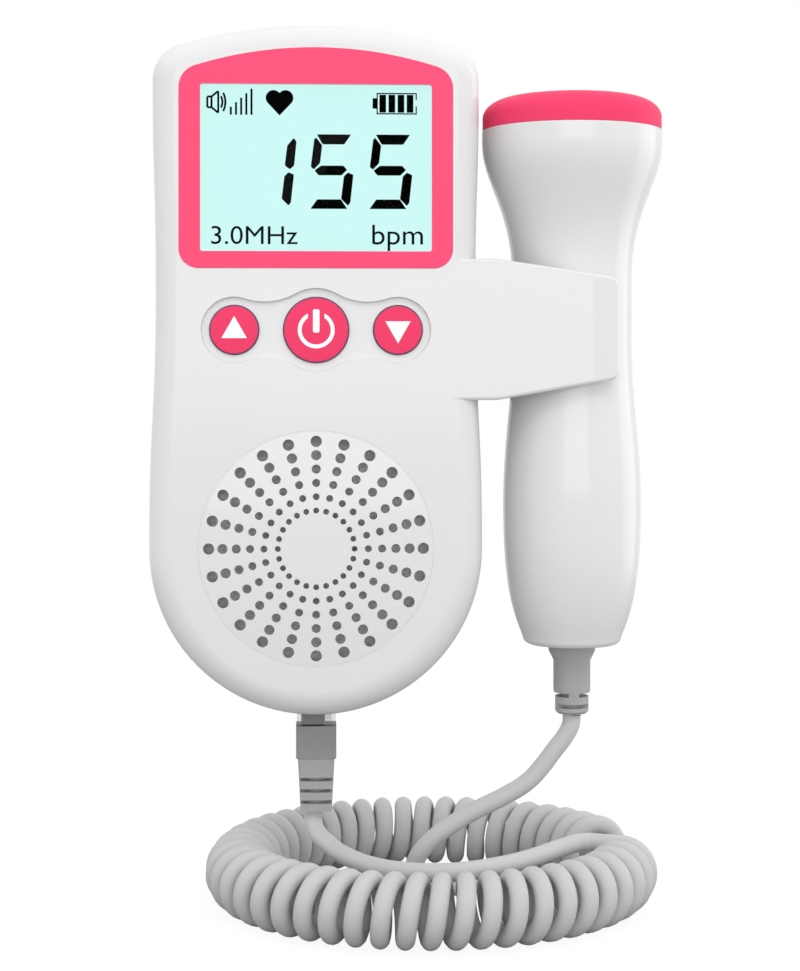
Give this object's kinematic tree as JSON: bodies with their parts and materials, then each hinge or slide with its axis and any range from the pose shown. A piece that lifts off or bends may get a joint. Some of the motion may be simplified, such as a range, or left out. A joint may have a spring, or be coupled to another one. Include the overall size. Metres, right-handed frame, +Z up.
{
  "type": "fetal doppler monitor",
  "caption": "Handheld fetal doppler with a rounded case, arched display bezel, keys and grille, and a flared probe parked in a side holder on a curly cord.",
  "frame": {"origin": "on the flat back of the hand unit, on its centre line at half its height", "axes": "+Z up along the unit, +X towards the probe, +Y out of the back; the display faces -Y"},
  "size_m": [0.1003, 0.0788, 0.171],
  "materials": {
    "white_gloss": "polished moulded ABS",
    "white_matt": "fine textured ABS",
    "pink_gloss": "printed acrylic",
    "pink_key": "satin gloss ABS",
    "clear_plastic": "clear polycarbonate",
    "liquid_crystal": "backlit liquid crystal",
    "light_guide": "diffusing acrylic",
    "green_board": "solder mask on glass epoxy",
    "black_plastic": "moulded nylon",
    "grey_cloth": "woven dust mesh",
    "steel": "nickel plated steel",
    "paper_cone": "pressed paper",
    "ferrite": "sintered ferrite",
    "cell_sleeve": "plain printed sleeve on steel",
    "grey_rubber": "moulded soft PVC",
    "ceramic": "silvered piezo ceramic",
    "black_foam": "damping foam",
    "grey_cord": "extruded soft PVC"
  },
  "bodies": {
    "root": {"front_cover": "white_gloss", "rear_cover": "white_gloss", "probe_holder": "white_gloss", "speaker_grille": "white_gloss", "display_bezel": "pink_gloss", "display_window": "clear_plastic", "lcd_panel": "liquid_crystal", "lcd_backlight": "light_guide", "main_board": "green_board", "switch_up": "black_plastic", "switch_power": "black_plastic", "switch_down": "black_plastic", "headphone_jack": "black_plastic", "dust_cloth": "grey_cloth", "speaker_frame": "steel", "battery_bridge_contact": "steel", "battery_contact_left": "steel", "battery_contact_right": "steel", "case_screw_1": "steel", "case_screw_2": "steel", "case_screw_3": "steel", "case_screw_4": "steel", "speaker_cone": "paper_cone", "speaker_magnet": "ferrite", "battery_left": "cell_sleeve", "battery_right": "cell_sleeve", "phone_jack": "white_matt", "cord_lead_unit": "grey_cord", "cord_curls": "grey_cord", "cord_lead_probe": "grey_cord"},
    "up_key": {"button_up": "pink_key", "switch_stem_up": "black_plastic"},
    "power_key": {"button_power": "pink_key", "switch_stem_power": "black_plastic"},
    "down_key": {"button_down": "pink_key", "switch_stem_down": "black_plastic"},
    "battery_door": {"battery_door": "white_gloss"},
    "probe": {"probe_front_shell": "white_gloss", "probe_rear_shell": "white_gloss", "probe_cap": "pink_key", "piezo_transmit": "ceramic", "piezo_receive": "ceramic", "piezo_backing": "black_foam", "transducer_carrier": "white_matt", "probe_board": "green_board", "probe_boot": "grey_rubber"},
    "plug": {"cord_plug": "clear_plastic", "plug_boot": "grey_rubber"}
  },
  "joints": [
    {"name": "up_press", "type": "slide", "parent": "root", "child": "up_key", "axis": [0, 1, 0], "range_m": [0, 0.0006], "stiffness_N_per_m": 900},
    {"name": "power_press", "type": "slide", "parent": "root", "child": "power_key", "axis": [0, 1, 0], "range_m": [0, 0.0006], "stiffness_N_per_m": 900},
    {"name": "down_press", "type": "slide", "parent": "root", "child": "down_key", "axis": [0, 1, 0], "range_m": [0, 0.0006], "stiffness_N_per_m": 900},
    {"name": "battery_door_hinge", "type": "hinge", "parent": "root", "child": "battery_door", "pos_m": [0, 0, -0.04705], "axis": [-1, 0, 0], "range_deg": [0, 70]},
    {"name": "probe_release", "type": "slide", "parent": "root", "child": "probe", "axis": [1, 0, 0], "range_m": [0, 0.032], "deforming": ["cord_lead_probe"]},
    {"name": "plug_release", "type": "slide", "parent": "root", "child": "plug", "axis": [0, 0, -1], "range_m": [0, 0.01], "deforming": ["cord_lead_unit"]}
  ]
}
